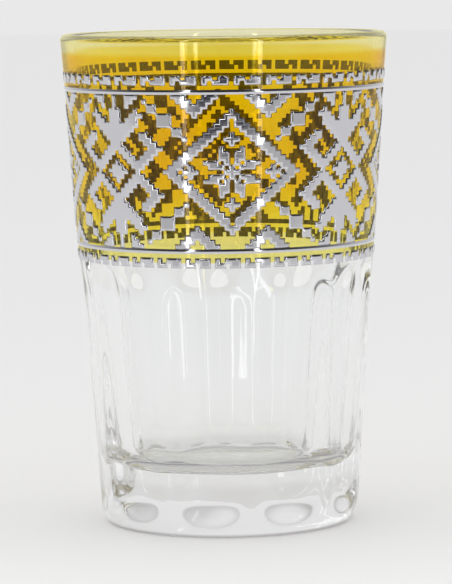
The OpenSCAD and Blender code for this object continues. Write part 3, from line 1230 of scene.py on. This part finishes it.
class Keys:
    """Key marks of the two borders: hooked pairs, five columns wide and two rows high."""

    PITCH = 6
    WIDE = 5
    GAPS = {1: 2, 2: 3}
    LOWER_SHIFT = 2

    @classmethod
    def on(cls, c: int, r: int) -> bool:
        """Whether a stitch is printed, by its column from the key's middle and its row from the rule."""
        return abs(c) <= cls.WIDE // 2 and r in cls.GAPS and c + (cls.WIDE + 1) // 2 != cls.GAPS[r]

    @classmethod
    def cells(cls, band: Band, level: Level) -> list[Cell]:
        """Stitches of one key of a border."""
        middle = cls.PITCH // 2 + (cls.LOWER_SHIFT if level is Level.LOWER else 0)
        return [
            (middle + c, level.value * (band.key_off_rows - 1 + r))
            for c in range(-cls.WIDE, cls.WIDE + 1)
            for r in cls.GAPS
            if cls.on(c, r)
        ]


class Motifs:
    """Rules for the stitches of each motif, by column and row from the motif's middle."""

    CHAIN = ((9, 7, 1), (10, 8, 2), (12, 10, 3), (15, 13, 2), (17, 15, 1))

    @staticmethod
    def frame(c: int, r: int) -> bool:
        """Diamond three stitches thick, with a rosette in its left and right corner."""
        d, side = abs(c) + abs(r), abs(c) - 9
        edge = 10 < d <= 13 and not (c == 0 and abs(r) == 11) and not (side == 1 and r == 0)
        return edge or (abs(side) + abs(r) <= 2 and side <= 0 and not (side == 0 and abs(r) == 1))

    @staticmethod
    def rosette(c: int, r: int) -> bool:
        """Cross with eight petals."""

        def petal(across: int, along: int) -> bool:
            """Whether a stitch is in a petal, by its distance across and along the nearer arm."""
            return (across == 1 and 2 <= along <= 4) or (across == 2 and 3 <= along <= 5)

        x, y = abs(c), abs(r)
        return x + y <= 1 or petal(x, y) or petal(y, x)

    @staticmethod
    def cross(c: int, r: int) -> bool:
        """Two small crosses, one above the rosette and one below it."""
        return abs(c) + abs(abs(r) - 7) <= 1

    @staticmethod
    def tree(column: int, row: int) -> bool:
        """Tree between two diamonds, drawn for one quarter and mirrored."""
        c, r = abs(column), abs(row)
        rising, falling = c - r, c + r
        return (
            falling <= 2
            or (abs(falling - 6) <= 1 and rising <= 5)
            or (abs(rising - 4) <= 1 and falling >= 5 and r <= 5)
            or (abs(falling - 14) <= 1 and 5 <= r <= 8 and c > 5)
            or (rising <= -5 and r <= 10)
            or (abs(rising + 7) <= 1 and r >= 10 and falling <= 18)
            or (10 <= r <= 16 and c <= (1 if r <= 13 else 0))
        )

    @classmethod
    def chain(cls, c: int, r: int) -> bool:
        """Stair chains of five squares, from beside the diamond out to the rules."""
        x, y = abs(c), abs(r)
        return any(left <= x < left + w and low <= y < low + w for left, low, w in cls.CHAIN)

    @staticmethod
    def triangle(c: int, r: int) -> bool:
        """Stepped triangle with a hole, hung from a rule on each side of a diamond."""
        side = abs(abs(c) - 7)
        return r <= 16 and r - 15 < side <= r - 12

    @staticmethod
    def corner(c: int, r: int) -> bool:
        """Stepped corner on each side of a tree's stem."""
        return r <= 16 and 0 <= abs(c) - 3 <= r - 14


@dataclass(frozen=True)
class Table:
    """The pale table. Metal sees it end in front of the glass, and a little greyer just before that."""

    half: float = 4.0
    pale: Colour = (0.87, 0.87, 0.872)
    grey: Colour = (0.0, 0.0, 0.0)
    grey_share: float = 0.28
    grey_y: Span = (-0.22, -0.13)
    dark: Colour = (0.03, 0.03, 0.05)
    dark_y: Span = (-0.405, -0.375)
    middle_x: Span = (0.10, 0.22)
    middle_least: float = 0.25
    roughness: float = 0.9
    specular: float = 0.1

    def material(self) -> bpy.types.Material:
        """Makes the material."""
        made, graph = new_material("pale table")
        x, y, _ = graph.xyz(graph.place())
        mirrored = graph.ray(Ray.GLOSSY) * (1.0 - graph.ray(Ray.TRANSMISSION))
        near = mirrored * y.step(*self.grey_y, self.grey_share, 0.0)
        beyond = y.step(*self.dark_y, 1.0, 0.0) * x.size().step(*self.middle_x, 1.0, self.middle_least)
        pale = graph.blend(near, self.pale, self.grey)
        matt = principled(graph, {
            "Base Color": graph.blend(mirrored * beyond, pale, self.dark),
            "Roughness": self.roughness,
            "Specular IOR Level": self.specular,
        })
        end_material(graph, matt)
        return made

    def build(self) -> bpy.types.Object:
        """Makes the table.

        Returns:
            The table, as part of the stage.
        """
        square = [(-self.half, -self.half, 0), (self.half, -self.half, 0)]
        square += [(self.half, self.half, 0), (-self.half, self.half, 0)]
        floor = new_piece("table", np.array(square, float), [(0, 1, 2, 3)])
        floor.data.materials.append(self.material())
        return floor


@dataclass(frozen=True)
class Room:
    """The room's even light. Glass and metal see it darker overhead and in front."""

    background: float = 0.815
    light: float = 0.93
    overhead_z: Span = (0.12, 0.55)
    front_y: Span = (-0.95, -0.55)
    front_z: Span = (-0.05, 0.5)
    front_least: float = 0.6
    mirrored: tuple[float, float, float] = (0.72, 0.93, 0.6)
    through: tuple[float, float, float] = (0.94, 0.5, 0.5)

    def build(self) -> None:
        """Makes the world."""
        made = bpy.data.worlds.new("studio")
        bpy.context.scene.world = made
        made.use_nodes = True
        graph = Graph(made.node_tree)
        _, y, z = graph.xyz(graph.node("ShaderNodeTexCoord", out="Generated"))
        overhead = z.step(*self.overhead_z)
        front = y.step(*self.front_y, 1.0, 0.0) * z.step(*self.front_z, 1.0, self.front_least)
        level = self.light
        for kind, (most, less_overhead, less_front) in (
            (Ray.GLOSSY, self.mirrored),
            (Ray.TRANSMISSION, self.through),
        ):
            seen = (1.0 - overhead * less_overhead) * (1.0 - front * less_front) * most
            level = level + graph.ray(kind) * (seen - level)
        level = level + graph.ray(Ray.CAMERA) * (self.background - level)
        light = graph.node("ShaderNodeBackground", None, {0: (1.0, 1.0, 1.0, 1.0), 1: level})
        graph.node("ShaderNodeOutputWorld", None, {0: light})


@dataclass(frozen=True)
class Lamps:
    """A soft lamp overhead and two narrow ones in front, which streak the glass."""

    soft_size: Span = (0.6, 0.6)
    soft_place: Spot = (-0.25, -0.2, 0.8)
    soft_target: Spot = (0.0, 0.0, 0.03)
    soft_watts: float = 0.2
    strip_size: Span = (0.008, 0.5)
    strip_away: float = 0.16
    strip_z: float = 0.25
    strip_watts: float = 0.06
    left_deg: float = -26.4
    right_deg: float = 23.6

    @staticmethod
    def _panel(name: str, size: Span, place: Spot, target: Spot, watts: float) -> bpy.types.Object:
        """Adds a rectangular lamp that the camera doesn't see.

        Args:
            name: the lamp's name.
            size: width and height.
            place: where it hangs.
            target: the point it faces.
            watts: its power.

        Returns:
            The lamp's object.
        """
        data = bpy.data.lights.new(name, "AREA")
        data.shape = "RECTANGLE"
        data.size, data.size_y = size
        data.energy = watts
        made = bpy.data.objects.new(name, data)
        bpy.context.collection.objects.link(made)
        made.location = place
        made.rotation_euler = (Vector(target) - Vector(place)).to_track_quat("-Z", "Y").to_euler()
        made.visible_camera = False
        return made

    def build(self) -> None:
        """Hangs the lamps."""
        soft = self._panel(
            "soft lamp overhead", self.soft_size, self.soft_place, self.soft_target, self.soft_watts
        )
        soft.visible_glossy = False
        soft.visible_transmission = False
        for name, azimuth in (("left strip", self.left_deg), ("right strip", self.right_deg)):
            angle = math.radians(azimuth)
            place = (self.strip_away * math.sin(angle), -self.strip_away * math.cos(angle), self.strip_z)
            self._panel(name, self.strip_size, place, (0.0, 0.0, self.strip_z), self.strip_watts)


@dataclass(frozen=True)
class Camera:
    """The camera at the photograph's place and angle."""

    back: float = 0.6269
    up: float = 0.1035
    pitch_deg: float = 5.607
    roll_deg: float = -0.761
    focal_px: float = 3430.6
    picture_px: float = 584.0
    shift_px: float = 0.71
    sensor_mm: float = 36.0
    nearest: float = 0.01

    def build(self) -> None:
        """Makes the camera and sets it as the scene's own."""
        pitch, roll = math.radians(self.pitch_deg), math.radians(self.roll_deg)
        ahead = Vector((0, math.cos(pitch), -math.sin(pitch)))
        right = Vector((1, 0, 0))
        up = right.cross(ahead)
        across = math.cos(roll) * right + math.sin(roll) * up
        upright = -math.sin(roll) * right + math.cos(roll) * up
        data = bpy.data.cameras.new("camera")
        data.sensor_width = self.sensor_mm
        data.lens = self.sensor_mm * self.focal_px / self.picture_px
        data.shift_x = -self.shift_px / self.picture_px
        data.clip_start = self.nearest
        made = bpy.data.objects.new("camera", data)
        bpy.context.collection.objects.link(made)
        turned = Matrix((across, upright, -ahead)).transposed().to_4x4()
        made.matrix_world = Matrix.Translation((0, -self.back, self.up)) @ turned
        bpy.context.scene.camera = made


@dataclass
class Studio:
    """Table, room, lamps and camera, in metres, and how far light is followed through the glass."""

    bounces: int = 32

    def build(self) -> None:
        """Sets up the whole studio."""
        Camera().build()
        Table().build()
        Room().build()
        Lamps().build()
        scene = bpy.context.scene
        scene.view_settings.view_transform = "Standard"
        for kind in ("max_bounces", "glossy_bounces", "transmission_bounces", "transparent_max_bounces"):
            setattr(scene.cycles, kind, self.bounces)


def main() -> None:
    """Loads the frame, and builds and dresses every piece."""
    logging.basicConfig(level=logging.INFO, format="%(name)s: %(message)s")
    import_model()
    profile = Profile()
    band = Band(profile)
    GlassBody(profile, Flute(), ClearGlass()).build()
    AmberCoat(profile, AmberStain(), band.coat_low_z).build()
    Print(band, SilverPrint()).build()
    Studio().build()


if __name__ == "__main__":
    main()
